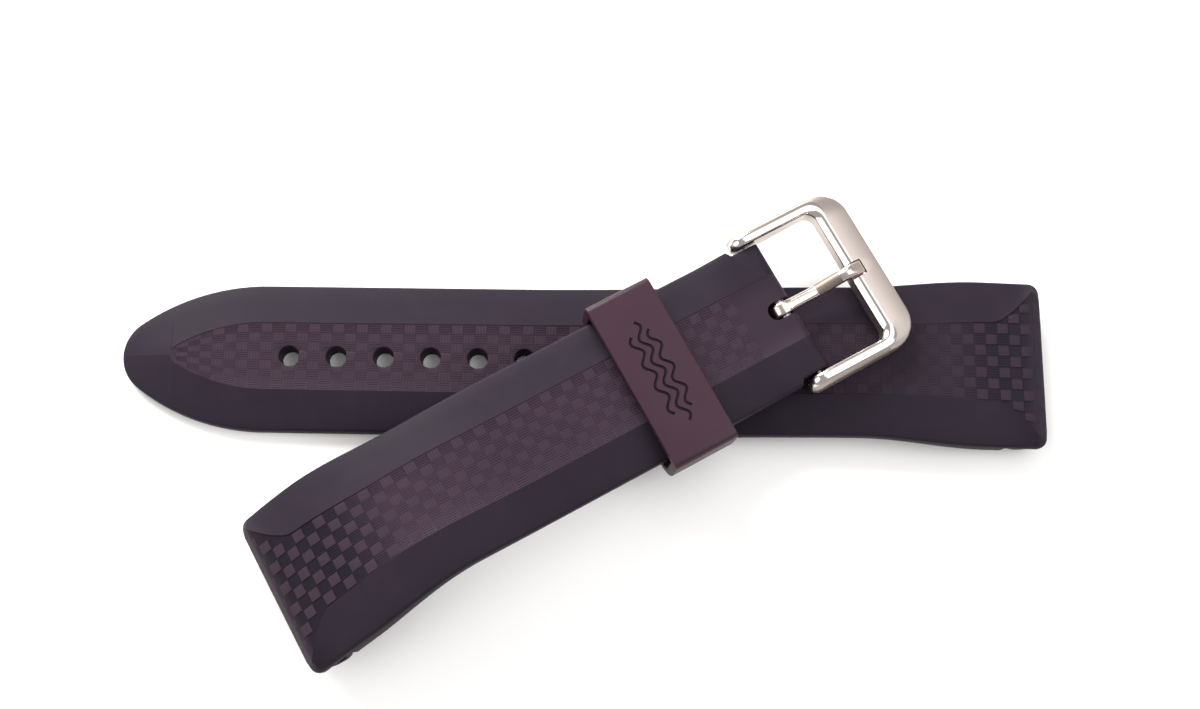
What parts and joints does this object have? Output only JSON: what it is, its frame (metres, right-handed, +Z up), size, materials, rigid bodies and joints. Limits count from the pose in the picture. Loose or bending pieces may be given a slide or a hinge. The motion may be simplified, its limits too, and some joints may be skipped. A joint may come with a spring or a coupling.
{
  "type": "two-piece rubber watch strap with tang buckle",
  "caption": "Two-piece moulded rubber watch strap laid out crosswise, with steel tang buckle, spring bar and sliding keeper loop.",
  "frame": {"origin": "centre of the spring bar bore in the lug end of the long piece", "axes": "+X along the long piece, out past its lug end; +Y across the long piece, along its lug bore; +Z up, away from the table at z = -0.002 m that both pieces lie on"},
  "size_m": [0.1301, 0.0668, 0.0138],
  "materials": {
    "strap_rubber": "matte moulded, dark violet grey",
    "keeper_rubber": "satin moulded, dark violet grey",
    "buckle_steel": "brushed faces with polished bevels",
    "tang_steel": "polished root, brushed tip",
    "bar_steel": "turned, satin",
    "spring_steel": "drawn wire"
  },
  "bodies": {
    "long_piece": {"long_strap": "strap_rubber"},
    "short_piece": {"short_strap": "strap_rubber", "spring_bar_tube": "bar_steel", "spring_bar_spring": "spring_steel"},
    "keeper_loop": {"keeper": "keeper_rubber"},
    "buckle": {"buckle_frame": "buckle_steel"},
    "tang_arm": {"tang": "tang_steel"},
    "plunger_left": {"spring_bar_plunger_left": "bar_steel"},
    "plunger_right": {"spring_bar_plunger_right": "bar_steel"}
  },
  "joints": [
    {"name": "lift_off", "type": "slide", "parent": "long_piece", "child": "short_piece", "axis": [0, 0, 1], "range_m": [0, 0.04]},
    {"name": "keeper_slide", "type": "slide", "parent": "short_piece", "child": "keeper_loop", "axis": [0.8699, 0.4902, -0.0543], "range_m": [-0.024, 0.0015]},
    {"name": "buckle_hinge", "type": "hinge", "parent": "short_piece", "child": "buckle", "pos_m": [-0.0343, 0.0062, 0.00667], "axis": [0.4909, -0.8712, 0], "range_deg": [0, 45]},
    {"name": "tang_hinge", "type": "hinge", "parent": "buckle", "child": "tang_arm", "pos_m": [-0.0343, 0.0062, 0.00667], "axis": [0.4909, -0.8712, 0], "range_deg": [0, 60]},
    {"name": "plunger_left_slide", "type": "slide", "parent": "short_piece", "child": "plunger_left", "axis": [0.4909, -0.8712, 0], "range_m": [0, 0.0014], "stiffness_N_per_m": 1500, "springref_m": -0.0006, "deforming": ["spring_bar_spring"]},
    {"name": "plunger_right_slide", "type": "slide", "parent": "short_piece", "child": "plunger_right", "axis": [-0.4909, 0.8712, 0], "range_m": [0, 0.0014], "stiffness_N_per_m": 1500, "springref_m": -0.0006, "deforming": ["spring_bar_spring"]}
  ]
}
